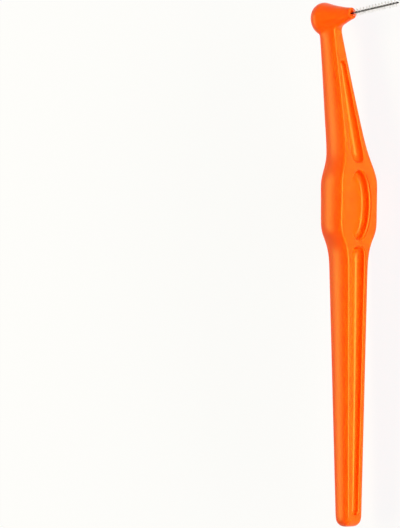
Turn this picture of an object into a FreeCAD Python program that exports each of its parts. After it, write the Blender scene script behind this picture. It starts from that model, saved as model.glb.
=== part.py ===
import FreeCAD, Part
import math
import os
import re

import Sketcher
from FreeCAD import Placement, Rotation, Vector

# An interdental brush with an angled head, in millimetres. The handle lies on one side face, as on a table:
# +Y runs along the shank towards the head, +X is the way the wire points, and +Z is up.
# The driving sizes come first: name, value, what it is.
SIZES = [
    ("shank_length", 57.0, "tail end to the foot of the grip's flare"),
    ("flare_length", 14.0, "foot of the flare to the full width of the grip"),
    ("grip_length", 6.5, "stretch of the grip at its full width"),
    ("shoulder_length", 15.5, "top of the grip to the foot of the neck"),
    ("tail_width", 4.98, "shank across the creases at the tail"),
    ("waist_width", 7.04, "shank across the creases below the flare"),
    ("grip_width", 12.65, "grip across the creases"),
    ("neck_foot_width", 6.15, "neck across the creases at its foot"),
    ("neck_top_width", 2.85, "neck across the creases inside the head"),
    ("tail_thickness", 3.85, "front to back at the tail"),
    ("grip_thickness", 6.6, "front to back at the top of the grip"),
    ("neck_foot_thickness", 5.94, "front to back at the foot of the neck"),
    ("neck_top_thickness", 4.3, "front to back inside the head"),
    ("knee_rise", 5.2, "top of the grip to the point where the neck starts to lean"),
    ("neck_lean", 10.0, "lean of the neck away from the wire, in degrees"),
    ("grip_bulge", 0.2, "how far the top of the grip stands forward of the shank's axis"),
    ("crease_width", 0.28, "how much each of the four long creases is cut back on both faces"),
    ("tail_inset", 1.45, "how far the rounded tail end draws in on each side"),
    ("tail_rounding", 2.3, "length of that rounding along the shank"),
    ("head_rise", 34.05, "knee to the head's axis, measured along the shank"),
    ("head_tilt", 7.5, "tilt of the head and wire above square to the shank, in degrees"),
    ("nose_reach", 7.3, "neck's centre line to the nose face, along the head's axis"),
    ("back_reach", 3.5, "neck's centre line to the flat back face, along the head's axis"),
    ("nose_radius", 1.27, "nose face"),
    ("head_radius", 3.9, "head at its widest ring"),
    ("rim_radius", 2.4, "rounding from the widest ring to the back face"),
    ("flank_radius", 38.0, "hollow curve of the cone from the nose to the rim"),
    ("junction_radius", 1.0, "blend between neck and head"),
    ("dimple_radius", 0.6, "small hollow round the wire in the nose face"),
    ("dimple_depth", 0.45, "depth of that hollow"),
    ("lower_groove_start", 2.6, "tail end to the lower groove"),
    ("lower_groove_gap", 7.1, "upper end of the lower groove to the foot of the full grip"),
    ("lower_groove_tail_width", 2.2, "lower groove at its narrow end"),
    ("lower_groove_grip_width", 3.95, "lower groove at its wide end"),
    ("upper_groove_gap", 0.8, "knee to the wide end of the upper groove"),
    ("upper_groove_stop", 9.6, "narrow end of the upper groove to the head's axis"),
    ("upper_groove_grip_width", 3.8, "upper groove at its wide end"),
    ("upper_groove_head_width", 1.95, "upper groove at its narrow end"),
    ("groove_depth", 1.5, "grooves below the face"),
    ("groove_corner", 0.85, "rounded corners of the grooves' ends"),
    ("groove_floor_slope", 0.75, "slope between a groove's wall and its floor, as high as it is wide"),
    ("recess_rise", 2.7, "foot of the full grip to the middle of the thumb recess"),
    ("recess_length", 16.0, "oval thumb recess along the grip"),
    ("recess_width", 7.2, "oval thumb recess across the grip"),
    ("recess_end_radius", 2.0, "curve of the oval's two ends"),
    ("recess_depth", 1.6, "thumb recess below the face"),
    ("recess_floor_slope", 0.9, "slope between the recess's wall and its floor, as high as it is wide"),
    ("wire_diameter", 0.15, "bare steel wire"),
    ("coating_thickness", 0.02, "plastic coat on the wire"),
    ("filament_diameter", 0.07, "one nylon filament"),
    ("clamp_clearance", 0.0025, "play between a filament and each leg of the wire"),
    ("coating_clearance", 0.004, "play between the steel and its coat"),
    ("filament_length", 1.9, "one filament from tip to tip"),
    ("bare_root", 0.45, "nose face to the first tuft"),
    ("wire_free_length", 14.1, "nose face to the tip"),
    ("wire_bedded_length", 3.7, "wire inside the head"),
    ("twist_pitch", 1.9, "one full turn of the twisted wire"),
    ("bore_clearance", 0.02, "play between the wire and its bore in the head"),
    ("steps_per_turn", 9.0, "straight steps that stand for one turn of the wire"),
    ("tuft_count", 14.0, "groups of filaments, one for each half turn"),
    ("filaments_per_tuft", 10.0, "filaments in one group"),
    ("overrun", 2.0, "how far a cutting tool passes the face"),
]

# Bow of the side faces, as a share of the thickness there.
CROWN_SHARE = 0.09

# Stations of the bar. A tail line holds a share of the rounding's length and a share of its inset. The others
# hold a share of the stretch's length, then the shares reached there of the change in width, in thickness and
# in setback.
TAIL_SHARES = [(0.0, 1.0), (0.0, 0.5), (0.33, 0.0), (1.0, 0.0)]
STRAIGHT_SHARES = [0.93, 1.02]
FLARE_SHARES = [(0.35, 0.05), (0.56, 0.35), (0.72, 0.88), (0.86, 1.03), (1.0, 1.01)]
SHOULDER_SHARES = [
    (0.0, 0.0, 0.0, 0.0),
    (0.12, 0.0, 0.0, 0.0),
    (0.27, 0.22, 0.65, 0.0),
    (0.43, 0.55, 1.0, 0.12),
    (0.58, 0.73, 1.0, 0.36),
    (0.78, 0.89, 1.0, 0.67),
    (1.0, 1.0, 1.0, 1.0),
]
NECK_SHARES = [(0.2, 0.25, 0.2), (0.4, 0.48, 0.42), (0.6, 0.66, 0.64), (0.8, 0.83, 0.84), (1.0, 1.0, 1.0)]

# The wire's fold at the tip, as shares of half a circle.
FOLD_SHARES = [0.25, 0.5, 0.75]

# Sides of the steel, of its coat and of a filament in section.
STEEL_SIDES = 4
COAT_SIDES = 6
FILAMENT_SIDES = 5

doc = FreeCAD.newDocument("InterdentalBrush")


def make_sheet():
    sheet = doc.addObject("Spreadsheet::Sheet", "Sizes")
    for row, (name, value, meaning) in enumerate(SIZES, start=1):
        sheet.set(f"A{row}", name)
        sheet.set(f"B{row}", str(value))
        sheet.set(f"C{row}", meaning)
        sheet.setAlias(f"B{row}", name)
    doc.recompute()
    return sheet


sheet = make_sheet()


def size(name):
    return float(sheet.get(name))


def sizes(expression):
    """Turn the plain names in an expression into references to the sheet."""
    names = {name for name, value, meaning in SIZES}
    return re.sub(r"[a-z_]+", lambda word: f"Sizes.{word[0]}" if word[0] in names else word[0], expression)


def worth(expression):
    return float(sheet.evalExpression(sizes(expression)))


def new_body(name):
    body = doc.addObject("PartDesign::Body", name)
    body.Label = name
    return body


def origin_plane(body, role):
    return next(item for item in body.Origin.OriginFeatures if item.Role == role)


def new_sketch(body, name, role, axis, angle, **offsets):
    """A sketch on one of the body's planes, moved and turned by sheet expressions."""
    sketch = body.newObject("Sketcher::SketchObject", name)
    sketch.AttachmentSupport = [(origin_plane(body, role), "")]
    sketch.MapMode = "FlatFace"
    sketch.AttachmentOffset = Placement(Vector(), Rotation(axis, 1))
    sketch.setExpression("AttachmentOffset.Rotation.Angle", sizes(angle))
    for direction, expression in offsets.items():
        sketch.setExpression(f"AttachmentOffset.Base.{direction}", sizes(expression))
    return sketch


def bind(sketch, kind, *where, to):
    """Add a dimension to a sketch and tie it to an expression."""
    number = sketch.addConstraint(Sketcher.Constraint(kind, *where, worth(to)))
    sketch.setExpression(f"Constraints[{number}]", sizes(to))


def tie(sketch, kind, *where):
    sketch.addConstraint(Sketcher.Constraint(kind, *where))


# The bar: shank, grip and neck in one smooth skin over its stations.
GRIP_FOOT = "(shank_length + flare_length)"
GRIP_TOP = "(shank_length + flare_length + grip_length)"
KNEE = f"({GRIP_TOP} + knee_rise)"
NECK_FOOT = f"({GRIP_TOP} + shoulder_length)"
NECK_TOP = f"({KNEE} + head_rise)"


def lean_slope():
    return math.tan(math.radians(size("neck_lean")))


def between(start, end, share):
    return start + share * (end - start)


def bar_stations():
    """Height, width, thickness and setback of each station, tail first."""
    tail, waist, grip = size("tail_width"), size("waist_width"), size("grip_width")
    foot, top = size("neck_foot_width"), size("neck_top_width")
    thin, thick = size("tail_thickness"), size("grip_thickness")
    foot_thick, top_thick = size("neck_foot_thickness"), size("neck_top_thickness")
    shank, grip_top = size("shank_length"), worth(GRIP_TOP)
    neck_foot, neck_top = worth(NECK_FOOT), worth(NECK_TOP)
    bulge = -size("grip_bulge")
    foot_setback = (neck_foot - worth(KNEE)) * lean_slope()
    top_setback = size("head_rise") * lean_slope()
    stations = []
    for reach, drawing_in in TAIL_SHARES:
        height = reach * size("tail_rounding")
        inset = 2 * drawing_in * size("tail_inset")
        width, thickness = between(tail, waist, height / shank), between(thin, thick, height / grip_top)
        stations.append((height, width - inset, thickness - inset, 0))
    for reach in STRAIGHT_SHARES:
        height = reach * shank
        width, thickness = between(tail, waist, reach), between(thin, thick, height / grip_top)
        stations.append((height, width, thickness, 0))
    for reach, widening in FLARE_SHARES:
        height = shank + reach * size("flare_length")
        width, thickness = between(waist, grip, widening), between(thin, thick, height / grip_top)
        stations.append((height, width, thickness, bulge * (height - shank) / (grip_top - shank)))
    for reach, narrowing, thinning, leaning in SHOULDER_SHARES:
        height = between(grip_top, neck_foot, reach)
        width, thickness = between(grip, foot, narrowing), between(thick, foot_thick, thinning)
        stations.append((height, width, thickness, between(bulge, foot_setback, leaning)))
    for reach, narrowing, thinning in NECK_SHARES:
        height = between(neck_foot, neck_top, reach)
        width, thickness = between(foot, top, narrowing), between(foot_thick, top_thick, thinning)
        stations.append((height, width, thickness, between(foot_setback, top_setback, reach)))
    return stations


def station_points(height, width, thickness, setback):
    """Round one station: front face, crease, side face, crease, and the same again by the back."""
    cut = size("crease_width")
    deep, side = thickness / 2, width / 2
    quarter = [(deep, side - cut), (deep - cut, side), (0, side + 2 * CROWN_SHARE * thickness)]
    quarter += [(cut - deep, side), (-deep, side - cut)]
    outline = quarter + [(-x, -z) for x, z in quarter]
    return [Vector(x - setback, height, z) for x, z in outline]


def skin(rows, columns):
    """A smooth face through the stations' points: straight across two columns, bowed across three."""
    poles = [[row[column] for column in columns] for row in rows]
    if len(rows) == len(columns) == 2:
        (first, second), (fourth, third) = poles
        return Part.Face(Part.makePolygon([first, second, third, fourth, first]))
    degree = min(3, len(rows) - 1)
    spans = len(rows) - degree
    along = [degree + 1] + [1] * (spans - 1) + [degree + 1]
    across = len(columns)
    surface = Part.BSplineSurface()
    surface.buildFromPolesMultsKnots(
        poles, along, [across, across], list(range(spans + 1)), [0, 1], False, False, degree, across - 1
    )
    return surface.toShape()


def end_cap(faces, height):
    edges = [edge for face in faces for edge in face.Edges if is_level(edge) and touches(edge, height)]
    return Part.Face(Part.Wire(Part.__sortEdges__(edges)))


def is_level(edge):
    """True for an edge that keeps to one height."""
    heights = [edge.valueAt(edge.getParameterByLength(share * edge.Length)).y for share in (0, 0.5, 1)]
    return max(heights) - min(heights) < size("bore_clearance")


def touches(edge, height):
    return abs(edge.firstVertex().Point.y - height) < size("bore_clearance")


def make_bar():
    rows = [station_points(*station) for station in bar_stations()]
    tail_rows = len(TAIL_SHARES)
    stretches = [rows[:tail_rows], rows[tail_rows - 1 : tail_rows + 1], rows[tail_rows:]]
    columns = [(0, 1), (1, 2, 3), (3, 4), (4, 5), (5, 6), (6, 7, 8), (8, 9), (9, 0)]
    faces = [skin(stretch, across) for stretch in stretches for across in columns]
    caps = [end_cap(faces[: len(columns)], 0), end_cap(faces[-len(columns) :], worth(NECK_TOP))]
    shell = Part.Shell(faces + caps)
    shell.sewShape()
    solid = Part.Solid(shell)
    if solid.Volume < 0:
        solid.reverse()
    bar = doc.addObject("Part::Feature", "Bar")
    bar.Shape = solid
    return bar


def named_edges(feature, wanted):
    return [f"Edge{number}" for number, edge in enumerate(feature.Shape.Edges, start=1) if wanted(edge)]


def dress_edges(body, kind, name, wanted, field, width):
    """Round or slope the wanted edges of the body as it stands."""
    base = body.Tip
    dressing = body.newObject(kind, name)
    dressing.Base = (base, named_edges(base, wanted))
    dressing.setExpression(field, sizes(width))
    doc.recompute()
    return dressing


# The head, in a sketch laid along its own axis with the neck's centre line at zero.
SETBACK = "-head_rise * tan(neck_lean)"


def head_sketch(body, name):
    return new_sketch(body, name, "XY_Plane", Vector(0, 0, 1), "head_tilt", x=SETBACK, y=NECK_TOP)


def flank_centre():
    """Centre of the cone's hollow curve: it touches the rim's rounding and ends at the nose face's edge."""
    rim, flank = size("rim_radius"), size("flank_radius")
    start = Vector(rim - size("back_reach"), size("head_radius") - rim, 0)
    end = Vector(size("nose_reach"), size("nose_radius"), 0)
    chord = end - start
    along = ((flank + rim) ** 2 - flank**2 + chord.Length**2) / (2 * chord.Length)
    up = math.sqrt((flank + rim) ** 2 - along**2)
    direction = chord / chord.Length
    return start, end, start + direction * along + Vector(-direction.y, direction.x, 0) * up


def add_head(body):
    sketch = head_sketch(body, "HeadPlan")
    rim_centre, nose_edge, flank = flank_centre()
    rim, back = size("rim_radius"), -size("back_reach")
    meet = rim_centre + (flank - rim_centre).normalize() * rim
    corner = Vector(back, rim_centre.y, 0)
    upright = Vector(0, 0, 1)
    rim_angles = [math.atan2(meet.y - rim_centre.y, meet.x - rim_centre.x), math.pi]
    flank_angles = [math.atan2(point.y - flank.y, point.x - flank.x) for point in (meet, nose_edge)]
    sketch.addGeometry(Part.LineSegment(Vector(back, 0, 0), corner))
    sketch.addGeometry(Part.ArcOfCircle(Part.Circle(rim_centre, upright, rim), *rim_angles))
    sketch.addGeometry(Part.ArcOfCircle(Part.Circle(flank, upright, size("flank_radius")), *flank_angles))
    sketch.addGeometry(Part.LineSegment(nose_edge, Vector(nose_edge.x, 0, 0)))
    sketch.addGeometry(Part.LineSegment(Vector(nose_edge.x, 0, 0), Vector(back, 0, 0)))
    tie(sketch, "Tangent", 0, 2, 1, 2)
    tie(sketch, "Tangent", 1, 1, 2, 1)
    tie(sketch, "Coincident", 2, 2, 3, 1)
    tie(sketch, "Coincident", 3, 2, 4, 1)
    tie(sketch, "Coincident", 4, 2, 0, 1)
    tie(sketch, "PointOnObject", 3, 2, -1)
    tie(sketch, "PointOnObject", 0, 1, -1)
    tie(sketch, "Vertical", 0)
    tie(sketch, "Vertical", 3)
    bind(sketch, "DistanceX", 0, 1, -1, 1, to="back_reach")
    bind(sketch, "DistanceX", -1, 1, 3, 1, to="nose_reach")
    bind(sketch, "DistanceY", -1, 1, 3, 1, to="nose_radius")
    bind(sketch, "DistanceY", -1, 1, 1, 3, to="head_radius - rim_radius")
    bind(sketch, "Radius", 1, to="rim_radius")
    bind(sketch, "Radius", 2, to="flank_radius")
    head = body.newObject("PartDesign::Revolution", "Head")
    head.Profile = sketch
    head.ReferenceAxis = (sketch, ["H_Axis"])
    head.Angle = 360
    doc.recompute()
    return head


# A stepped bore for the wire, with the small hollow round it at the nose.
TWIST_RADIUS = "((filament_diameter / 2 + clamp_clearance + wire_diameter / 2 + coating_thickness)"
TWIST_RADIUS += " / cos(180 / steps_per_turn))"
BORE_RADIUS = f"({TWIST_RADIUS} + wire_diameter / 2 + coating_thickness + bore_clearance)"


def add_bore(body):
    sketch = head_sketch(body, "BorePlan")
    deep = worth("nose_reach - wire_bedded_length - bare_root")
    shoulder = worth("nose_reach - dimple_depth")
    outside = worth("nose_reach + overrun")
    narrow, wide = worth(BORE_RADIUS), size("dimple_radius")
    corners = [(deep, 0), (deep, narrow), (shoulder, narrow), (shoulder, wide), (outside, wide), (outside, 0)]
    points = [Vector(x, y, 0) for x, y in corners]
    for start, end in zip(points, points[1:] + points[:1]):
        sketch.addGeometry(Part.LineSegment(start, end))
    for number in range(6):
        tie(sketch, "Coincident", number, 2, (number + 1) % 6, 1)
    for number in (0, 2, 4):
        tie(sketch, "Vertical", number)
    for number in (1, 3):
        tie(sketch, "Horizontal", number)
    for point in (0, 5):
        tie(sketch, "PointOnObject", point, 1, -1)
    bind(sketch, "DistanceX", -1, 1, 0, 1, to="nose_reach - wire_bedded_length - bare_root")
    bind(sketch, "DistanceX", -1, 1, 2, 1, to="nose_reach - dimple_depth")
    bind(sketch, "DistanceX", -1, 1, 4, 1, to="nose_reach + overrun")
    bind(sketch, "DistanceY", -1, 1, 1, 1, to=BORE_RADIUS)
    bind(sketch, "DistanceY", -1, 1, 3, 2, to="dimple_radius")
    bore = body.newObject("PartDesign::Groove", "Bore")
    bore.Profile = sketch
    bore.ReferenceAxis = (sketch, ["H_Axis"])
    bore.Angle = 360
    doc.recompute()
    return bore


# The grooves and the recesses, cut square to the face they lie in.
TAPER = f"((grip_thickness - tail_thickness) / 2 / {GRIP_TOP})"
THINNING = f"((neck_foot_thickness - neck_top_thickness) / 2 / ({NECK_TOP} - {NECK_FOOT}))"


def add_pocket(body, name, outline, plane, depth, backward, slope):
    """Cut a pocket from a plane clear of the face by the overrun, then slope the floor's edges."""
    height, offset, angle = plane
    sketch = new_sketch(body, f"{name}Plan", "YZ_Plane", Vector(0, 1, 0), angle, x=height, z=offset)
    outline(sketch)
    before = body.Tip.Shape.Volume
    pocket = body.newObject("PartDesign::Pocket", name)
    pocket.Profile = sketch
    pocket.Reversed = backward
    pocket.setExpression("Length", sizes(f"{depth} + overrun"))
    doc.recompute()
    if pocket.Shape.Volume >= before:
        raise RuntimeError(f"{name} cuts nothing")
    floor = floor_of(pocket, sketch)
    around = lambda edge: belongs(edge, floor)
    dress_edges(body, "PartDesign::Chamfer", f"{name}Floor", around, "Size", slope)


def belongs(edge, face):
    return any(edge.isSame(own) for own in face.Edges)


def floor_of(pocket, sketch):
    """The flat face that lies as deep under the sketch as the pocket was cut."""
    normal = sketch.Placement.Rotation.multVec(Vector(0, 0, 1))
    deep = float(pocket.Length)

    def misses(face):
        return abs(abs((face.CenterOfMass - sketch.Placement.Base).dot(normal)) - deep)

    return min(pocket.Shape.Faces, key=misses)


def long_outline(length, start_width, end_width):
    """A tapering slot with rounded corners, running along the sketch from its origin."""

    def draw(sketch):
        corner = size("groove_corner")
        far = worth(length) - corner
        near, wide = worth(start_width) / 2 - corner, worth(end_width) / 2 - corner
        centres = [(far, wide), (corner, near), (corner, -near), (far, -wide)]
        for quarter, (x, y) in enumerate(centres):
            circle = Part.Circle(Vector(x, y, 0), Vector(0, 0, 1), corner)
            sketch.addGeometry(Part.ArcOfCircle(circle, quarter * math.pi / 2, (quarter + 1) * math.pi / 2))
        for quarter in range(4):
            start = sketch.Geometry[quarter].EndPoint
            end = sketch.Geometry[(quarter + 1) % 4].StartPoint
            sketch.addGeometry(Part.LineSegment(start, end))
        for quarter in range(4):
            tie(sketch, "Tangent", quarter, 2, quarter + 4, 1)
            tie(sketch, "Tangent", quarter + 4, 2, (quarter + 1) % 4, 1)
            bind(sketch, "Radius", quarter, to="groove_corner")
        for quarter in (0, 3):
            bind(sketch, "DistanceX", -1, 1, quarter, 3, to=f"{length} - groove_corner")
        for quarter in (1, 2):
            bind(sketch, "DistanceX", -1, 1, quarter, 3, to="groove_corner")
        for upper, lower, width in ((0, 3, end_width), (1, 2, start_width)):
            bind(sketch, "DistanceY", -1, 1, upper, 3, to=f"{width} / 2 - groove_corner")
            bind(sketch, "DistanceY", lower, 3, -1, 1, to=f"{width} / 2 - groove_corner")

    return draw


def oval_outline(sketch):
    """The recess's oval: two end curves joined by two long side curves."""
    reach, side = "recess_length / 2 - recess_end_radius", "recess_width / 2"
    bulk = f"(({reach}) ^ 2 + ({side}) ^ 2 - recess_end_radius ^ 2)"
    side_radius = f"{bulk} / (2 * ({side} - recess_end_radius))"
    far, end, flat = worth(reach), size("recess_end_radius"), worth(side_radius)
    low = worth(side) - flat
    turn = math.atan2(-low, far)
    half = math.pi
    curves = [(far, 0, end, -turn, turn), (0, low, flat, turn, half - turn)]
    curves += [(-far, 0, end, half - turn, half + turn), (0, -low, flat, half + turn, 2 * half - turn)]
    for x, y, radius, start, stop in curves:
        circle = Part.Circle(Vector(x, y, 0), Vector(0, 0, 1), radius)
        sketch.addGeometry(Part.ArcOfCircle(circle, start, stop))
    for number in range(4):
        tie(sketch, "Tangent", number, 2, (number + 1) % 4, 1)
    for number in (0, 2):
        tie(sketch, "PointOnObject", number, 3, -1)
        bind(sketch, "Radius", number, to="recess_end_radius")
    for number in (1, 3):
        bind(sketch, "Radius", number, to=side_radius)
    bind(sketch, "DistanceX", -1, 1, 0, 3, to=reach)
    bind(sketch, "DistanceX", 2, 3, -1, 1, to=reach)


def lower_plane(height, side):
    """Plane clear of the shank's front (side 1) or back (side -1) face at one height."""
    clear = f"({side}) * (tail_thickness / 2 + {TAPER} * {height} + overrun)"
    return height, clear, f"({-side}) * atan({TAPER})"


def upper_plane(height, side):
    """The same for the leaning neck."""
    slope = f"(tan(neck_lean) + ({side}) * {THINNING})"
    foot = f"(({side}) * (neck_foot_thickness / 2 + overrun) - ({NECK_FOOT} - {KNEE}) * tan(neck_lean))"
    return height, f"{foot} + {slope} * ({NECK_FOOT} - {height})", f"atan({slope})"


def add_hollows(body):
    reach = f"({GRIP_FOOT} - lower_groove_gap - lower_groove_start)"
    climb = "((head_rise - upper_groove_gap - upper_groove_stop) / cos(neck_lean))"
    lower = long_outline(reach, "lower_groove_tail_width", "lower_groove_grip_width")
    upper = long_outline(climb, "upper_groove_grip_width", "upper_groove_head_width")
    for name, side in (("Front", 1), ("Back", -1)):
        backward = side < 0
        plane = lower_plane("lower_groove_start", side)
        add_pocket(body, f"{name}LowerGroove", lower, plane, "groove_depth", backward, "groove_floor_slope")
        plane = upper_plane(f"({KNEE} + upper_groove_gap)", side)
        add_pocket(body, f"{name}UpperGroove", upper, plane, "groove_depth", backward, "groove_floor_slope")
        plane = lower_plane(f"({GRIP_FOOT} + recess_rise)", side)
        oval = f"{name}Recess"
        add_pocket(body, oval, oval_outline, plane, "recess_depth", backward, "recess_floor_slope")


def make_handle():
    body = new_body("handle")
    body.BaseFeature = make_bar()
    doc.recompute()
    neck = body.Tip.Shape
    head = add_head(body)
    joins = lambda edge: lies_on(edge, neck) and lies_on(edge, head.AddSubShape)
    dress_edges(body, "PartDesign::Fillet", "Junction", joins, "Radius", "junction_radius")
    add_bore(body)
    add_hollows(body)
    return body


def lies_on(edge, solid):
    """True when an edge runs along the skin of a solid."""
    skin = solid.Shells[0]
    points = [edge.valueAt(edge.getParameterByLength(share * edge.Length)) for share in (0, 0.3, 0.7, 1)]
    return all(skin.distToShape(Part.Vertex(point))[0] < size("coating_clearance") for point in points)


# The wire: one strand folded in half at the tip, its two legs twisted about the head's axis. It is laid out
# with the axis upright and the nose face at zero.
def leg_points():
    """Corners of one leg's straight steps, cut end first, and the angle at which the leg ends."""
    radius = worth(TWIST_RADIUS)
    step = size("twist_pitch") / size("steps_per_turn")
    top = size("wire_free_length") - radius
    count = round((top + size("wire_bedded_length")) / step)
    points = []
    for number in range(count + 1):
        angle = 2 * math.pi * (number - count) / size("steps_per_turn")
        height = top + (number - count) * step
        points.append(Vector(radius * math.cos(angle), radius * math.sin(angle), height))
    return points


def strand_points():
    """The whole strand: up one leg, round the fold, down the other."""
    leg = leg_points()
    radius, top = worth(TWIST_RADIUS), leg[-1].z
    fold = []
    for share in FOLD_SHARES:
        angle = share * math.pi
        fold.append(Vector(radius * math.cos(angle), 0, top + radius * math.sin(angle)))
    return leg + fold + [Vector(-point.x, -point.y, point.z) for point in reversed(leg)]


def ring(path, radius, sides):
    """Section corners square to the path's first step."""
    forward = (path[1] - path[0]).normalize()
    across = forward.cross(Vector(0, 0, 1)).normalize()
    upward = forward.cross(across)
    corners = []
    for number in range(sides):
        turn = 2 * math.pi * number / sides
        corners.append(path[0] + across * (radius * math.cos(turn)) + upward * (radius * math.sin(turn)))
    return corners


def tube_rings(path, radius, sides):
    """Carry the section along the path, mitred at each corner."""
    rings = [ring(path, radius, sides)]
    ways = [(end - start).normalize() for start, end in zip(path, path[1:])]
    for number, way in enumerate(ways):
        corner = path[number + 1]
        mitre = way + ways[number + 1] if number + 1 < len(ways) else way
        rings.append([point + way * ((corner - point).dot(mitre) / way.dot(mitre)) for point in rings[-1]])
    return rings


def wall(rings):
    """Flat faces between one ring and the next."""
    faces = []
    for lower, upper in zip(rings, rings[1:]):
        for number, point in enumerate(lower):
            after = (number + 1) % len(lower)
            corners = [point, lower[after], upper[after], upper[number]]
            faces.append(Part.Face(closed(corners)))
    return faces


def closed(points):
    return Part.makePolygon(points + points[:1])


def solid_of(faces):
    shell = Part.Shell(faces)
    shell.sewShape()
    solid = Part.Solid(shell)
    if solid.Volume < 0:
        solid.reverse()
    return solid


def new_feature(name, shape):
    feature = doc.addObject("Part::Feature", name)
    feature.Label = name
    feature.Shape = shape
    feature.Placement = head_placement()
    return feature


def head_placement():
    """From the wire's own layout to the handle: nose face at zero, axis upright."""
    upright = Rotation(Vector(0, 0, 1), Vector(1, 0, 0))
    turn = Rotation(Vector(0, 0, 1), size("head_tilt"))
    axis = turn.multVec(Vector(1, 0, 0))
    base = Vector(-size("head_rise") * lean_slope(), worth(NECK_TOP), 0) + axis * size("nose_reach")
    return Placement(base, turn * upright)


def make_wire_core():
    rings = tube_rings(strand_points(), worth("wire_diameter / 2"), STEEL_SIDES)
    ends = [Part.Face(closed(rings[0])), Part.Face(closed(rings[-1]))]
    return new_feature("wire_core", solid_of(wall(rings) + ends))


def make_wire_coating():
    path = strand_points()
    outer = tube_rings(path, worth("wire_diameter / 2 + coating_thickness"), COAT_SIDES)
    inner = tube_rings(path, worth("wire_diameter / 2 + coating_clearance"), STEEL_SIDES)
    ends = [Part.Face([closed(outer[end]), closed(inner[end][::-1])]) for end in (0, -1)]
    return new_feature("wire_coating", solid_of(wall(outer) + wall(inner) + ends))


def make_filament(name, height, angle):
    filament = doc.addObject("Part::Prism", name)
    filament.Polygon = FILAMENT_SIDES
    filament.setExpression("Circumradius", sizes("filament_diameter / 2"))
    filament.setExpression("Height", sizes("filament_length"))
    across = Rotation(Vector(0, 0, 1), angle) * Rotation(Vector(0, 0, 1), Vector(1, 0, 0))
    start = across.multVec(Vector(0, 0, -size("filament_length") / 2))
    filament.Placement = Placement(start + Vector(0, 0, height), across)
    return filament


def make_tuft(number):
    """The filaments of one half turn, each square to the line between the legs where it passes."""
    name = f"tuft_{number + 1:02d}"
    count = round(size("filaments_per_tuft"))
    pitch = size("twist_pitch") / 2 / count
    top = leg_points()[-1].z
    filaments = []
    for place in range(count):
        height = size("bare_root") + (number * count + place + 0.5) * pitch
        angle = 90 + 360 * (height - top) / size("twist_pitch")
        filaments.append(make_filament(f"{name}_filament_{place + 1:02d}", height, angle))
    tuft = doc.addObject("Part::Compound", name)
    tuft.Label = name
    tuft.Links = filaments
    tuft.Placement = head_placement()
    return tuft


def make_all():
    parts = [make_handle(), make_wire_core(), make_wire_coating()]
    parts += [make_tuft(number) for number in range(round(size("tuft_count")))]
    doc.recompute()
    return parts


def check(parts):
    for item in doc.Objects:
        if "Invalid" in item.State or "Error" in item.State:
            raise RuntimeError(f"{item.Name}: {item.getStatusString()}")
    for part in parts:
        if part.Shape.isNull() or not part.Shape.isValid():
            raise RuntimeError(f"{part.Label} has no sound shape")


def stand_in_frame(parts):
    """Move everything so that the overall box is centred on the origin and rests on the ground."""
    box = FreeCAD.BoundBox()
    for part in parts:
        box.add(Part.makeCompound([part.Shape]).optimalBoundingBox(False))
    shift = Placement(Vector(-box.Center.x, -box.Center.y, -box.ZMin), Rotation())
    print("overall", box.XLength, box.YLength, box.ZLength, shift)
    for part in parts:
        part.Placement = shift * part.Placement


parts = make_all()
check(parts)
stand_in_frame(parts)
os.makedirs("parts", exist_ok=True)
for part in parts:
    part.Shape.exportStep(f"parts/{part.Label}.step")
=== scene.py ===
import math
import random

import bmesh
import bpy
from mathutils import Matrix, Vector
from mathutils.bvhtree import BVHTree


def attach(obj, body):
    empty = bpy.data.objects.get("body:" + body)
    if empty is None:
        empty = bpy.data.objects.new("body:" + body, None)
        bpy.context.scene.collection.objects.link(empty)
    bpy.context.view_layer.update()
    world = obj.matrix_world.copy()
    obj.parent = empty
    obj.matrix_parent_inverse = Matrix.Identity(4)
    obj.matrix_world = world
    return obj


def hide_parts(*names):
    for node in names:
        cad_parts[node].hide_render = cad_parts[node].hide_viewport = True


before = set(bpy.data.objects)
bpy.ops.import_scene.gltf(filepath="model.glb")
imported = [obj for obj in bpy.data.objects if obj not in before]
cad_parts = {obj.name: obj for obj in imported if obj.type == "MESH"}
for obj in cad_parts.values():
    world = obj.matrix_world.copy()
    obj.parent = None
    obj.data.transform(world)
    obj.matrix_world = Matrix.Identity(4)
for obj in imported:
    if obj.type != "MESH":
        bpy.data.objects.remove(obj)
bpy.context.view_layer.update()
chance = random.Random(7)

# Lengths of the object are in millimetres until a piece is finished. The handle stands upright while it
# is shaped: its tail end is at zero height, +X is the front, and +Z points out of a side face. PLACE
# then moves it to where the solids are.
IN_METRES = 0.001
PLACE = Vector((-2.8117, -60.2468, 6.9427))

# Heights along the handle. The neck leans back from the knee.
SHANK_LENGTH = 57.0
FLARE_LENGTH = 14.0
GRIP_LENGTH = 6.5
KNEE_RISE = 5.2
SHOULDER_LENGTH = 15.5
HEAD_RISE = 34.05
GRIP_FOOT = SHANK_LENGTH + FLARE_LENGTH
GRIP_TOP = GRIP_FOOT + GRIP_LENGTH
KNEE = GRIP_TOP + KNEE_RISE
NECK_FOOT = GRIP_TOP + SHOULDER_LENGTH
NECK_TOP = KNEE + HEAD_RISE
LEAN = math.tan(math.radians(10.0))
HEAD_TILT = math.radians(7.5)

# Sections of the handle. Widths run along Z and depths along X. A setback is towards the back.
TAIL_WIDTH, WAIST_WIDTH, GRIP_WIDTH, NECK_FOOT_WIDTH, NECK_TOP_WIDTH = 4.98, 7.04, 12.65, 6.15, 2.85
TAIL_DEPTH, GRIP_DEPTH, NECK_FOOT_DEPTH, NECK_TOP_DEPTH = 3.85, 6.6, 5.94, 4.3
TAIL_INSET, TAIL_ROUNDING = 1.75, 3.2
GRIP_SETBACK = -0.2
NECK_FULLNESS = 0.2
CROWN = 0.08
CREASE, CREASE_SHARE, CREASE_SPAN = 0.42, 0.3, 2.4
FLANK_SHARE = 0.4
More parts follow.
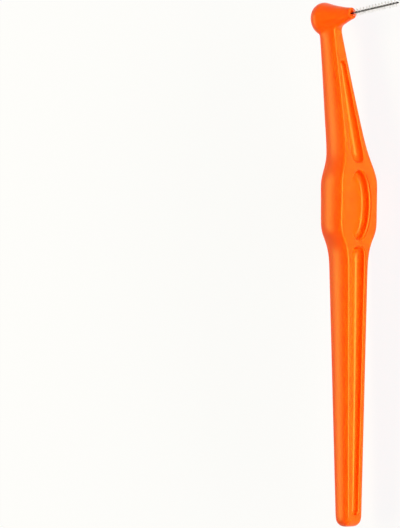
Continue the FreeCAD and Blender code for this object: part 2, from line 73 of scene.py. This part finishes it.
# The smoothing draws the faces in, so the cage lies this far outside them.
FACE_ALLOWANCE, SIDE_ALLOWANCE = 0.11, 0.06

# Rings of the handle's cage. A row starts with how far up its stretch the ring lies, as a share. Its
# other shares say how far the section has changed: drawn in at the tail, widened at the flare, and
# narrowed, thinned and leant back at the shoulder.
TAIL_RINGS = ((0.0, 1.0), (0.0, 0.5), (0.33, 0.0), (1.0, 0.0))
SHANK_RINGS = (0.15, 0.4, 0.7, 0.93, 1.02)
FLARE_RINGS = ((0.35, 0.05), (0.56, 0.35), (0.72, 0.88), (0.86, 1.03), (1.0, 1.01))
SHOULDER_RINGS = (
    (0.0, 0.0, 0.0, 0.0),
    (0.12, 0.0, 0.0, 0.0),
    (0.27, 0.22, 0.65, 0.0),
    (0.43, 0.55, 1.0, 0.12),
    (0.58, 0.73, 1.0, 0.36),
    (0.78, 0.89, 1.0, 0.67),
    (1.0, 1.0, 1.0, 1.0),
)
NECK_RINGS = (0.2, 0.4, 0.6)
LAST_NECK_RING = 0.7

# Head. Its reaches run from the neck's top along the wire's axis.
NOSE_REACH, BACK_REACH = 7.3, 3.5
NOSE_RADIUS, HEAD_RADIUS, RIM_RADIUS, FLANK_RADIUS = 1.27, 3.92, 2.4, 38.0
BACK_RADII = (0, 0.5, 1.0)
RIM_STEPS, FLANK_STEPS, HEAD_STEPS = 14, 9, 40
# From the cone's end over the nose face, into the small hollow and down the wire's bore: how far behind
# the nose face, and the radius there.
NOSE_STEPS = (
    (0.13, 1.34),
    (0.0, 1.29),
    (-0.01, 1.1),
    (0.0, 0.86),
    (0.02, 0.7),
    (0.12, 0.62),
    (0.34, 0.58),
    (0.44, 0.5),
    (0.45, 0.36),
    (0.53, 0.28),
    (1.4, 0.27),
    (4.1, 0.27),
    (4.15, 0.0),
)

# The fillet between neck and head, and how much more it is at the front. It ends on a ring just above
# the head's skin and one inside the head.
FILLET, FILLET_GROWTH = 1.5, 0.6
FILLET_LIFT = 0.05
END_SINK, END_RISE = 0.6, 0.3

# Grooves. An end has the width, the depth, the plan's corner and the length of the slope there.
SHANK_GROOVE_START, SHANK_GROOVE_LENGTH = 2.6, 61.5
SHANK_GROOVE_ENDS = ((2.05, 1.3, 0.95, 1.3), (4.2, 1.95, 1.2, 2.3))
NECK_GROOVE_START, NECK_GROOVE_LENGTH = 0.8, 24.0
NECK_GROOVE_ENDS = ((4.1, 1.85, 1.2, 2.3), (1.95, 1.2, 0.95, 1.2))
TROUGH_STEPS, SLOPE_STEPS = 12, 7

# Thumb recesses.
RECESS_RISE = 2.7
RECESS_LENGTH, RECESS_WIDTH, RECESS_DEPTH = 15.8, 7.0, 1.75
RECESS_WALL, RECESS_FOOT = 0.6, 1.1
RECESS_EDGE_SCALE = 1.5
RECESS_SIDES, FOOT_STEPS = 72, 6

# From the handle's face over a hollow's softened edge: how far outside its outline, and how far above
# the face. A cutter starts the overrun above the face.
EDGE_STEPS = ((0.3, 0.02), (0.14, -0.025), (0.04, -0.12), (0.0, -0.3))
EDGE_DROP = 0.3
OVERRUN = 1.5

SMOOTHING_LEVELS = 2
WELD, CUT_WELD = 0.001, 0.002
HANDLE_SHARP_ANGLE = math.radians(38)

# Wire. Its fold starts at the fold's foot.
WIRE_RADIUS = 0.105
TWIST_RADIUS = 0.135
TWIST_PITCH = 1.9
WIRE_FREE, WIRE_BEDDED = 14.1, 3.7
TIP_CLEARANCE = 0.015
FOLD_FOOT = WIRE_FREE - TWIST_RADIUS - TIP_CLEARANCE
WIRE_SIDES, STEPS_A_TURN, FOLD_STEPS = 10, 18, 6

# Filaments.
TUFTS, FILAMENTS = 14, 10
TUFT_FOOT = 0.45
FILAMENT_RADIUS = 0.03
FILAMENT_LENGTH = 1.86
FILAMENT_SIDES, FILAMENT_CUTS = 6, 3
FILAMENT_BOW = 0.05
SHORTEST_TRIM = 0.94
FILAMENT_SHARP_ANGLE = math.radians(70)

RAMP_STOPS = (0.3, 0.7)

# Stage and camera. These are in metres, but for the height aimed at, which is the upright handle's.
WHITE = (1, 1, 1, 1)
FLOOR_COLOUR = (0.92, 0.92, 0.92, 1)
FLOOR_SIZE = 3
FLOOR_GLOW_SHARE = 0.9
BACKGROUND_RAYS = ("Is Camera Ray", "Is Glossy Ray", "Is Transmission Ray")
WORLD_LEVEL = 0.1
LAMP_AIM = Vector((0, 0.02, 0.006))
VIEW_ROLL = math.radians(43.7)
AIM_HEIGHT = 60.2
CAMERA_SHIFT, CAMERA_DISTANCE = 0.03405, 0.9
LENS, SENSOR = 267.5, 36
CLIP_START, CLIP_END = 0.01, 20


def between(start, end, share):
    return start + share * (end - start)


def of_kind(items, kind):
    return [item for item in items if isinstance(item, kind)]


def add_object(name, data):
    made = bpy.data.objects.new(name, data)
    bpy.context.scene.collection.objects.link(made)
    return made


def object_from(name, bm):
    mesh = bpy.data.meshes.new(name)
    bm.to_mesh(mesh)
    bm.free()
    return add_object(name, mesh)


def finished(piece, name):
    """Bake a piece's modifiers into a mesh of its own and drop the working object."""
    evaluated = piece.evaluated_get(bpy.context.evaluated_depsgraph_get())
    mesh = bpy.data.meshes.new_from_object(evaluated)
    mesh.name = name
    baked = add_object(name, mesh)
    bpy.data.objects.remove(piece)
    return baked


def set_down(bm):
    """Move a finished piece from its upright millimetres to the solids' place, in metres."""
    matrix = Matrix.Scale(IN_METRES, 4) @ Matrix.Translation(PLACE)
    bmesh.ops.transform(bm, matrix=matrix, verts=bm.verts)


# Cages drawn out ring by ring.
def loop_edges(bm, ring):
    return [bm.edges.get((ring[number - 1], ring[number])) for number in range(len(ring))]


def first_ring(bm, points):
    ring = [bm.verts.new(point) for point in points]
    for number in range(len(ring)):
        bm.edges.new((ring[number - 1], ring[number]))
    return ring


def draw_out(bm, ring, points):
    """Extrude a ring of edges and move it to the next points."""
    grown = bmesh.ops.extrude_edge_only(bm, edges=loop_edges(bm, ring))["geom"]
    fresh = set(of_kind(grown, bmesh.types.BMVert))
    after = []
    for vert, point in zip(ring, points):
        others = (edge.other_vert(vert) for edge in vert.link_edges)
        partner = next(other for other in others if other in fresh)
        partner.co = point
        after.append(partner)
    return after


def close_end(bm, ring):
    bmesh.ops.contextual_create(bm, geom=loop_edges(bm, ring))


# Handle: shank, grip and neck are one cage. A station is a height, a width, a depth and a setback.
def handle_depth(height):
    return between(TAIL_DEPTH, GRIP_DEPTH, height / GRIP_TOP)


def tail_stations():
    stations = []
    for climb, drawing_in in TAIL_RINGS:
        height = climb * TAIL_ROUNDING
        inset = 2 * drawing_in * TAIL_INSET
        width = between(TAIL_WIDTH, WAIST_WIDTH, height / SHANK_LENGTH)
        stations.append((height, width - inset, handle_depth(height) - inset, 0))
    return stations


def shank_stations():
    stations = []
    for climb in SHANK_RINGS:
        height = climb * SHANK_LENGTH
        width = between(TAIL_WIDTH, WAIST_WIDTH, climb)
        stations.append((height, width, handle_depth(height), 0))
    return stations


def flare_stations():
    stations = []
    for climb, widening in FLARE_RINGS:
        height = SHANK_LENGTH + climb * FLARE_LENGTH
        width = between(WAIST_WIDTH, GRIP_WIDTH, widening)
        setback = GRIP_SETBACK * (height - SHANK_LENGTH) / (GRIP_TOP - SHANK_LENGTH)
        stations.append((height, width, handle_depth(height), setback))
    return stations


def shoulder_stations():
    stations = []
    for climb, narrowing, thinning, leaning in SHOULDER_RINGS:
        height = between(GRIP_TOP, NECK_FOOT, climb)
        width = between(GRIP_WIDTH, NECK_FOOT_WIDTH, narrowing)
        depth = between(GRIP_DEPTH, NECK_FOOT_DEPTH, thinning)
        setback = between(GRIP_SETBACK, (NECK_FOOT - KNEE) * LEAN, leaning)
        stations.append((height, width, depth, setback))
    return stations


def neck_station(climb):
    narrowing = climb + NECK_FULLNESS * climb * (1 - climb)
    height = between(NECK_FOOT, NECK_TOP, climb)
    width = between(NECK_FOOT_WIDTH, NECK_TOP_WIDTH, narrowing)
    depth = between(NECK_FOOT_DEPTH, NECK_TOP_DEPTH, narrowing)
    return height, width, depth, (height - KNEE) * LEAN


def ring_points(height, width, depth, setback):
    """Round the section: a flat front, soft creases, bowed sides and a flat back."""
    front, side = depth / 2 + FACE_ALLOWANCE, width / 2 + SIDE_ALLOWANCE
    soft = min(CREASE, CREASE_SHARE * front, CREASE_SHARE * side)
    span = CREASE_SPAN * soft
    flank = front - soft
    half = [(front, side - span), (front, side - soft), (flank, side)]
    for x in (front - span, FLANK_SHARE * front, 0, -FLANK_SHARE * front, span - front):
        half.append((x, side + CROWN * depth * (1 - (x / flank) ** 2)))
    half += [(-flank, side), (-front, side - soft), (-front, side - span)]
    outline = half + [(-x, -z) for x, z in half]
    return [Vector((x - setback, height, z)) for x, z in outline]


def make_bar(head):
    """The bar's cage. Its last rings run out over the head's underside, as the moulding's fillet does."""
    skin = BVHTree.FromBMesh(head)
    bm = bmesh.new()
    stations = tail_stations() + shank_stations() + flare_stations() + shoulder_stations()
    stations += [neck_station(climb) for climb in NECK_RINGS]
    ring = first_ring(bm, ring_points(*stations[0]))
    close_end(bm, ring)
    for station in stations[1:]:
        ring = draw_out(bm, ring, ring_points(*station))
    lower, upper = ring_points(*neck_station(LAST_NECK_RING)), ring_points(*neck_station(1.0))
    centre = sum(lower, Vector()) / len(lower)
    below, meet, beyond, within = [], [], [], []
    for start, end in zip(lower, upper):
        way = (end - start).normalized()
        fillet = FILLET + FILLET_GROWTH * (start - centre).x / (NECK_TOP_DEPTH / 2)
        hit = skin.ray_cast(start, way)[0]
        outward = start - centre
        outward = (outward - way * outward.dot(way)).normalized()
        rest, facing = skin.find_nearest(hit + outward * fillet)[:2]
        below.append(hit - way * fillet)
        meet.append(hit)
        beyond.append(rest + facing * FILLET_LIFT)
        within.append(rest - facing * END_SINK + way * END_RISE)
    for points in (lower, below, meet, beyond, within):
        ring = draw_out(bm, ring, points)
    close_end(bm, ring)
    bmesh.ops.recalc_face_normals(bm, faces=bm.faces)
    return bm


# Head: the profile is spun about the wire's axis.
def head_axis():
    foot = Matrix.Translation(((KNEE - NECK_TOP) * LEAN, NECK_TOP, 0))
    return foot @ Matrix.Rotation(HEAD_TILT, 4, "Z")


def arc(centre, radius, start, stop, steps):
    points = []
    for number in range(steps + 1):
        angle = math.radians(between(start, stop, number / steps))
        points.append((centre[0] + radius * math.cos(angle), centre[1] + radius * math.sin(angle)))
    return points


def head_profile():
    """A rounded rim and a concave flank that meets it smoothly, as reach and radius."""
    rim = (RIM_RADIUS - BACK_REACH, HEAD_RADIUS - RIM_RADIUS)
    nose = (NOSE_REACH, NOSE_RADIUS)
    chord = Vector(nose) - Vector(rim)
    apart = FLANK_RADIUS + RIM_RADIUS
    along = (apart**2 - FLANK_RADIUS**2 + chord.length**2) / (2 * chord.length)
    up = math.sqrt(apart**2 - along**2)
    way = chord.normalized()
    flank = Vector(rim) + way * along + Vector((-way.y, way.x)) * up
    meet = math.degrees(math.atan2(flank.y - rim[1], flank.x - rim[0]))
    tip = math.degrees(math.atan2(nose[1] - flank.y, nose[0] - flank.x))
    points = [(-BACK_REACH, radius) for radius in BACK_RADII]
    points += arc(rim, RIM_RADIUS, 180, meet, RIM_STEPS)
    points += arc(flank, FLANK_RADIUS, meet - 180, tip, FLANK_STEPS)[1:-1]
    points += [(NOSE_REACH - back, radius) for back, radius in NOSE_STEPS]
    return points


def make_head():
    bm = bmesh.new()
    verts = [bm.verts.new((reach, radius, 0)) for reach, radius in head_profile()]
    edges = [bm.edges.new(pair) for pair in zip(verts, verts[1:])]
    bmesh.ops.spin(
        bm,
        geom=verts + edges,
        cent=(0, 0, 0),
        axis=(1, 0, 0),
        angle=math.tau,
        steps=HEAD_STEPS,
        use_merge=True,
    )
    bmesh.ops.remove_doubles(bm, verts=bm.verts, dist=WELD)
    bmesh.ops.recalc_face_normals(bm, faces=bm.faces)
    bmesh.ops.transform(bm, matrix=head_axis(), verts=bm.verts)
    return bm


# Cutters for the grooves and the thumb recesses.
def face_matrix(height, offset, slope, side):
    """X runs up the handle, Y across it and Z out of the face."""
    turn = Matrix(((0, 0, side), (1, 0, 0), (0, side, 0))).to_4x4()
    return Matrix.Translation((offset, height, 0)) @ Matrix.Rotation(slope, 4, "Z") @ turn


def quarter_turns(count):
    """Shares of the way in and of the way down, round a quarter of an ellipse."""
    turns = [math.pi / 2 * (number + 1) / count for number in range(count)]
    return [(1 - math.cos(turn), math.sin(turn)) for turn in turns]


def trough_ring(along, half_width, depth):
    """One section of a groove: the open mouth, the softened edge, and a half-round trough."""
    edge = [(half_width + EDGE_STEPS[0][0], OVERRUN)]
    edge += [(half_width + out, max(level, -depth)) for out, level in EDGE_STEPS]
    trough = []
    for number in range(1, TROUGH_STEPS):
        turn = math.pi * number / TROUGH_STEPS
        fall = max(depth - EDGE_DROP, 0) * math.sin(turn)
        trough.append((half_width * math.cos(turn), max(-EDGE_DROP - fall, -depth)))
    outline = edge + trough + [(-y, z) for y, z in reversed(edge)]
    return [Vector((along, y, z)) for y, z in outline]


def end_rings(width, depth, corner, reach):
    """A groove's end: distance in from the end, half width and depth of each section."""
    rings = [(-out, width / 2 - corner, -level) for out, level in EDGE_STEPS]
    for inward, downward in quarter_turns(SLOPE_STEPS):
        half_width = width / 2 - corner * (1 - downward)
        rings.append((reach * inward, half_width, EDGE_DROP + (depth - EDGE_DROP) * downward))
    return rings


def groove_cutter(length, start, end, matrix):
    rings = end_rings(*start)
    for inward, half_width, depth in reversed(end_rings(*end)):
        rings.append((length - inward, half_width, depth))
    bm = bmesh.new()
    ring = first_ring(bm, trough_ring(*rings[0]))
    close_end(bm, ring)
    for section in rings[1:]:
        ring = draw_out(bm, ring, trough_ring(*section))
    close_end(bm, ring)
    bmesh.ops.transform(bm, matrix=matrix, verts=bm.verts)
    bmesh.ops.recalc_face_normals(bm, faces=bm.faces)
    return bm


def recess_levels(edge):
    """How far in from the cutter's rim, and how far above the face."""
    reach = edge[0][0]
    levels = [(0.0, OVERRUN)] + [(reach - out, level) for out, level in edge]
    levels.append((reach, -RECESS_WALL))
    foot = RECESS_DEPTH - RECESS_WALL
    for inward, downward in quarter_turns(FOOT_STEPS):
        levels.append((reach + RECESS_FOOT * inward, -RECESS_WALL - foot * downward))
    return levels


def recess_cutter(matrix):
    """An oval sunk step by step: softened edge, upright wall, round foot and flat floor."""
    edge = [(RECESS_EDGE_SCALE * out, RECESS_EDGE_SCALE * level) for out, level in EDGE_STEPS]
    reach = edge[0][0]
    bm = bmesh.new()
    bmesh.ops.create_circle(bm, cap_ends=True, radius=1, segments=RECESS_SIDES)
    radii = (RECESS_LENGTH / 2 + reach, RECESS_WIDTH / 2 + reach, 1)
    bmesh.ops.scale(bm, vec=radii, verts=bm.verts)
    bmesh.ops.translate(bm, vec=(0, 0, OVERRUN), verts=bm.verts)
    floor = bm.faces[:]
    levels = recess_levels(edge)
    for (inset, level), (next_inset, next_level) in zip(levels, levels[1:]):
        bmesh.ops.inset_individual(
            bm,
            faces=floor,
            thickness=next_inset - inset,
            depth=next_level - level,
            use_even_offset=True,
        )
    bmesh.ops.contextual_create(bm, geom=[edge for edge in bm.edges if edge.is_boundary])
    bmesh.ops.transform(bm, matrix=matrix, verts=bm.verts)
    bmesh.ops.recalc_face_normals(bm, faces=bm.faces)
    return bm


def cutters():
    taper = (GRIP_DEPTH - TAIL_DEPTH) / 2 / GRIP_TOP
    thinning = (NECK_FOOT_DEPTH - NECK_TOP_DEPTH) / 2 / (NECK_TOP - NECK_FOOT)
    made = []
    for side in (1, -1):
        slope = -side * math.atan(taper)
        offset = side * (TAIL_DEPTH / 2 + taper * SHANK_GROOVE_START)
        matrix = face_matrix(SHANK_GROOVE_START, offset, slope, side)
        made.append(groove_cutter(SHANK_GROOVE_LENGTH, *SHANK_GROOVE_ENDS, matrix))

        neck_slope = LEAN + side * thinning
        height = KNEE + NECK_GROOVE_START
        foot_offset = side * NECK_FOOT_DEPTH / 2 - (NECK_FOOT - KNEE) * LEAN
        offset = foot_offset + neck_slope * (NECK_FOOT - height)
        matrix = face_matrix(height, offset, math.atan(neck_slope), side)
        made.append(groove_cutter(NECK_GROOVE_LENGTH, *NECK_GROOVE_ENDS, matrix))

        height = GRIP_FOOT + RECESS_RISE
        offset = side * (TAIL_DEPTH / 2 + taper * height)
        made.append(recess_cutter(face_matrix(height, offset, slope, side)))
    return made


def smoothed(bm):
    piece = object_from("handle_work", bm)
    smooth = piece.modifiers.new("smooth", "SUBSURF")
    smooth.levels = smooth.render_levels = SMOOTHING_LEVELS
    return finished(piece, "handle_work")


def combined(target, other, operation):
    modifier = target.modifiers.new("cut", "BOOLEAN")
    modifier.operation = operation
    modifier.solver = "EXACT"
    modifier.object = other
    result = finished(target, "handle_work")
    bpy.data.objects.remove(other)
    return result


def make_handle():
    head_cage = make_head()
    bar = smoothed(make_bar(head_cage))
    handle = combined(bar, smoothed(head_cage), "UNION")
    for bm in cutters():
        handle = combined(handle, object_from("cutter", bm), "DIFFERENCE")
    bm = bmesh.new()
    bm.from_mesh(handle.data)
    bpy.data.objects.remove(handle)
    bmesh.ops.remove_doubles(bm, verts=bm.verts, dist=CUT_WELD)
    set_down(bm)
    handle = object_from("handle_work", bm)
    handle.data.shade_smooth()
    handle.data.set_sharp_from_angle(angle=HANDLE_SHARP_ANGLE)
    even = handle.modifiers.new("even", "WEIGHTED_NORMAL")
    even.mode = "FACE_AREA"
    even.keep_sharp = True
    return finished(handle, "handle_moulding")


# Wire and filaments. They are laid out with the axis upright and the nose face at zero.
def rotate(bm, angle, axis, verts):
    bmesh.ops.rotate(bm, cent=(0, 0, 0), matrix=Matrix.Rotation(angle, 3, axis), verts=verts)


def set_on_nose(bm):
    upright = Matrix.Rotation(math.pi / 2, 4, "Y")
    matrix = head_axis() @ Matrix.Translation((NOSE_REACH, 0, 0)) @ upright
    bmesh.ops.transform(bm, matrix=matrix, verts=bm.verts)
    set_down(bm)


def make_leg():
    """Screw one leg up about the axis, then turn it over to the fold's top and leave it open there."""
    length = FOLD_FOOT + WIRE_BEDDED
    turns = length / TWIST_PITCH
    steps = round(turns * STEPS_A_TURN)
    slant = math.atan(math.tau * TWIST_RADIUS / TWIST_PITCH)
    bm = bmesh.new()
    bmesh.ops.create_circle(bm, cap_ends=True, radius=WIRE_RADIUS, segments=WIRE_SIDES)
    rotate(bm, -slant, "X", bm.verts)
    bmesh.ops.translate(bm, vec=(TWIST_RADIUS, 0, -WIRE_BEDDED), verts=bm.verts)
    rotate(bm, -math.tau * turns, "Z", bm.verts)
    screwed = bmesh.ops.spin(
        bm,
        geom=bm.faces[:],
        cent=(0, 0, 0),
        axis=(0, 0, 1),
        dvec=(0, 0, length / steps),
        angle=math.tau * turns,
        steps=steps,
    )
    turned = bmesh.ops.spin(
        bm,
        geom=screwed["geom_last"],
        cent=(0, 0, FOLD_FOOT),
        axis=(0, 1, 0),
        angle=-math.pi / 2,
        steps=FOLD_STEPS,
    )
    top = of_kind(turned["geom_last"], bmesh.types.BMFace)
    bmesh.ops.delete(bm, geom=top, context="FACES_ONLY")
    return bm


def make_wire():
    """The second leg is the first one turned half round the axis. They are joined at the fold's top."""
    bm = make_leg()
    other = bmesh.ops.duplicate(bm, geom=bm.verts[:] + bm.edges[:] + bm.faces[:])["geom"]
    rotate(bm, math.pi, "Z", of_kind(other, bmesh.types.BMVert))
    bmesh.ops.remove_doubles(bm, verts=bm.verts, dist=WELD)
    bmesh.ops.recalc_face_normals(bm, faces=bm.faces)
    set_on_nose(bm)
    wire = object_from("wire_coat", bm)
    wire.data.shade_smooth()
    return wire


def add_filament(bm, height, angle):
    """Add one filament across the wire, with a slight bow. Finished ones are tagged."""
    bmesh.ops.create_cone(
        bm,
        cap_ends=True,
        segments=FILAMENT_SIDES,
        radius1=FILAMENT_RADIUS,
        radius2=FILAMENT_RADIUS,
        depth=FILAMENT_LENGTH,
    )
    fresh = [edge for edge in bm.edges if not edge.verts[0].tag]
    long_edges = [edge for edge in fresh if edge.calc_length() > FILAMENT_LENGTH / 2]
    bmesh.ops.subdivide_edges(bm, edges=long_edges, cuts=FILAMENT_CUTS)
    verts = [vert for vert in bm.verts if not vert.tag]
    sideways = chance.uniform(-FILAMENT_BOW, FILAMENT_BOW)
    bow = Vector((sideways, chance.uniform(-FILAMENT_BOW, FILAMENT_BOW), 0))
    trim = chance.uniform(SHORTEST_TRIM, 1.0)
    for vert in verts:
        share = vert.co.z / FILAMENT_LENGTH * 2
        vert.co += bow * share * share
        vert.co.z *= trim
        vert.tag = True
    lay = Matrix.Rotation(angle, 3, "Z") @ Matrix.Rotation(math.pi / 2, 3, "Y")
    bmesh.ops.rotate(bm, cent=(0, 0, 0), matrix=lay, verts=verts)
    bmesh.ops.translate(bm, vec=(0, 0, height), verts=verts)


def make_tuft(number):
    """One half turn's filaments. Each lies between the legs where it crosses the wire."""
    bm = bmesh.new()
    pitch = TWIST_PITCH / 2 / FILAMENTS
    for place in range(FILAMENTS):
        height = TUFT_FOOT + (number * FILAMENTS + place + 0.5) * pitch
        add_filament(bm, height, math.pi / 2 + math.tau * (height - FOLD_FOOT) / TWIST_PITCH)
    set_on_nose(bm)
    tuft = object_from(f"filaments_{number + 1:02d}", bm)
    tuft.data.shade_smooth()
    tuft.data.set_sharp_from_angle(angle=FILAMENT_SHARP_ANGLE)
    return tuft


# Materials.
def set_inputs(node, values):
    for name, value in values.items():
        node.inputs[name].default_value = value


def new_material(name):
    material = bpy.data.materials.new(name)
    material.use_nodes = True
    nodes, links = material.node_tree.nodes, material.node_tree.links
    return material, nodes, links, nodes["Principled BSDF"]


def speckle(nodes, links, scale, detail):
    place = nodes.new("ShaderNodeTexCoord")
    noise = nodes.new("ShaderNodeTexNoise")
    set_inputs(noise, {"Scale": scale, "Detail": detail})
    links.new(place.outputs["Object"], noise.inputs["Vector"])
    return noise.outputs["Fac"]


def ramp(nodes, links, factor, low, high):
    steps = nodes.new("ShaderNodeValToRGB")
    for element, colour, position in zip(steps.color_ramp.elements, (low, high), RAMP_STOPS):
        element.color = colour
        element.position = position
    links.new(factor, steps.inputs["Fac"])
    return steps.outputs["Color"]


def spread(nodes, links, factor, low, high):
    numbers = nodes.new("ShaderNodeMapRange")
    set_inputs(numbers, {"To Min": low, "To Max": high})
    links.new(factor, numbers.inputs["Value"])
    return numbers.outputs["Result"]


def grain(nodes, links, shader, factor, strength, distance):
    bump = nodes.new("ShaderNodeBump")
    set_inputs(bump, {"Strength": strength, "Distance": distance})
    links.new(factor, bump.inputs["Height"])
    links.new(bump.outputs["Normal"], shader.inputs["Normal"])


def mottled(name, scale, detail, low, high, roughness):
    """A material whose colour and roughness drift a little over the piece."""
    material, nodes, links, shader = new_material(name)
    cloud = speckle(nodes, links, scale, detail)
    links.new(ramp(nodes, links, cloud, low, high), shader.inputs["Base Color"])
    links.new(spread(nodes, links, cloud, *roughness), shader.inputs["Roughness"])
    return material, nodes, links, shader


def orange_plastic():
    """Orange polypropylene with a moulded satin gloss and a little light inside it."""
    material, nodes, links, shader = mottled(
        "orange_polypropylene",
        scale=260,
        detail=3,
        low=(1.0, 0.085, 0.0, 1),
        high=(1.0, 0.099, 0.001, 1),
        roughness=(0.3, 0.37),
    )
    fine = speckle(nodes, links, scale=9000, detail=2)
    grain(nodes, links, shader, fine, strength=0.06, distance=0.00002)
    values = {
        "Subsurface Weight": 0.8,
        "Subsurface Radius": (1.0, 0.12, 0.04),
        "Subsurface Scale": 0.003,
        "IOR": 1.49,
        "Specular IOR Level": 0.4,
        "Specular Tint": (1.0, 0.88, 0.15, 1),
    }
    set_inputs(shader, values)
    return material


def coat_plastic():
    material, _, _, shader = mottled(
        "dark_wire_coat",
        scale=4000,
        detail=2,
        low=(0.006, 0.005, 0.005, 1),
        high=(0.016, 0.013, 0.013, 1),
        roughness=(0.42, 0.55),
    )
    set_inputs(shader, {"Specular IOR Level": 0.1})
    return material


def steel():
    material, _, _, shader = mottled(
        "drawn_steel",
        scale=6000,
        detail=2,
        low=(0.5, 0.5, 0.52, 1),
        high=(0.65, 0.65, 0.66, 1),
        roughness=(0.25, 0.4),
    )
    set_inputs(shader, {"Metallic": 1.0})
    return material


def nylon():
    material, _, _, shader = mottled(
        "pale_nylon",
        scale=3000,
        detail=2,
        low=(0.72, 0.7, 0.66, 1),
        high=(0.86, 0.84, 0.8, 1),
        roughness=(0.2, 0.35),
    )
    set_inputs(shader, {"Transmission Weight": 0.9, "IOR": 1.2})
    return material


def put_on(piece, material):
    piece.data.materials.clear()
    piece.data.materials.append(material)


# Stage, lights and camera.
def background_rays(nodes, links):
    """One for the rays that show the background: seen directly, mirrored or through glass."""
    rays = nodes.new("ShaderNodeLightPath")
    sockets = [rays.outputs[name] for name in BACKGROUND_RAYS]
    total = sockets[0]
    for socket in sockets[1:]:
        step = nodes.new("ShaderNodeMath")
        step.operation = "ADD"
        step.use_clamp = True
        links.new(total, step.inputs[0])
        links.new(socket, step.inputs[1])
        total = step.outputs[0]
    return total


def mixed(nodes, links, share, first, second):
    mix = nodes.new("ShaderNodeMixShader")
    for number, source in enumerate((share, first, second)):
        links.new(source, mix.inputs[number])
    return mix.outputs[0]


def white_stage():
    """The floor is white where it shows, and still takes the object's shadow."""
    material, nodes, links, shader = new_material("white_floor")
    values = {"Base Color": FLOOR_COLOUR, "Roughness": 0.9, "Specular IOR Level": 0.0}
    set_inputs(shader, values)
    glow = nodes.new("ShaderNodeEmission")
    set_inputs(glow, {"Strength": 1.0})
    share = nodes.new("ShaderNodeMath")
    share.operation = "MULTIPLY"
    share.inputs[1].default_value = FLOOR_GLOW_SHARE
    links.new(background_rays(nodes, links), share.inputs[0])
    surface = mixed(nodes, links, share.outputs[0], shader.outputs[0], glow.outputs[0])
    links.new(surface, nodes["Material Output"].inputs["Surface"])
    bm = bmesh.new()
    bmesh.ops.create_grid(bm, x_segments=1, y_segments=1, size=FLOOR_SIZE)
    floor = object_from("floor", bm)
    put_on(floor, material)


def world_light(level):
    world = bpy.data.worlds.new("studio")
    bpy.context.scene.world = world
    world.use_nodes = True
    nodes, links = world.node_tree.nodes, world.node_tree.links
    soft, white = nodes["Background"], nodes.new("ShaderNodeBackground")
    set_inputs(soft, {"Color": WHITE, "Strength": level})
    set_inputs(white, {"Color": WHITE, "Strength": 1.0})
    seen = background_rays(nodes, links)
    surface = mixed(nodes, links, seen, soft.outputs[0], white.outputs[0])
    links.new(surface, nodes["World Output"].inputs["Surface"])


def area_light(name, position, size, power, colour):
    light = bpy.data.lights.new(name, "AREA")
    light.shape = "RECTANGLE"
    light.size, light.size_y = size
    light.energy = power
    light.color = colour
    lamp = add_object(name, light)
    lamp.location = position
    lamp.rotation_euler = (LAMP_AIM - Vector(position)).to_track_quat("-Z", "Y").to_euler()


def add_camera():
    """The camera looks square at the handle's length, between a side face and the front."""
    right = Vector((math.cos(VIEW_ROLL), 0, -math.sin(VIEW_ROLL)))
    up = Vector((0, 1, 0))
    back = Vector((math.sin(VIEW_ROLL), 0, math.cos(VIEW_ROLL)))
    target = (Vector((0, AIM_HEIGHT, 0)) + PLACE) * IN_METRES
    place = target - right * CAMERA_SHIFT + back * CAMERA_DISTANCE
    data = bpy.data.cameras.new("camera")
    data.sensor_fit = "VERTICAL"
    data.sensor_height = data.sensor_width = SENSOR
    data.lens = LENS
    data.clip_start, data.clip_end = CLIP_START, CLIP_END
    camera = add_object("camera", data)
    axes = Matrix((right, up, back)).transposed().to_4x4()
    camera.matrix_world = Matrix.Translation(place) @ axes
    bpy.context.scene.camera = camera


handle = make_handle()
put_on(handle, orange_plastic())
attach(handle, "root")
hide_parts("handle")

wire = make_wire()
put_on(wire, coat_plastic())
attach(wire, "root")
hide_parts("wire_coating")

put_on(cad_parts["wire_core"], steel())

pale = nylon()
for number in range(TUFTS):
    tuft = make_tuft(number)
    put_on(tuft, pale)
    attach(tuft, "root")
    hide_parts(f"tuft_{number + 1:02d}")

white_stage()
world_light(WORLD_LEVEL)
area_light(
    "right_softbox",
    position=(0.596, 0.05, 0.078),
    size=(0.6, 0.12),
    power=7.1,
    colour=(1.0, 0.99, 1.0),
)
# A warm lamp, because a white one's reflection makes the plastic look pink.
area_light(
    "left_softbox",
    position=(-0.394, 0.02, 0.459),
    size=(0.6, 0.24),
    power=3.2,
    colour=(1.0, 0.92, 0.5),
)
add_camera()
bpy.context.scene.view_settings.view_transform = "Standard"
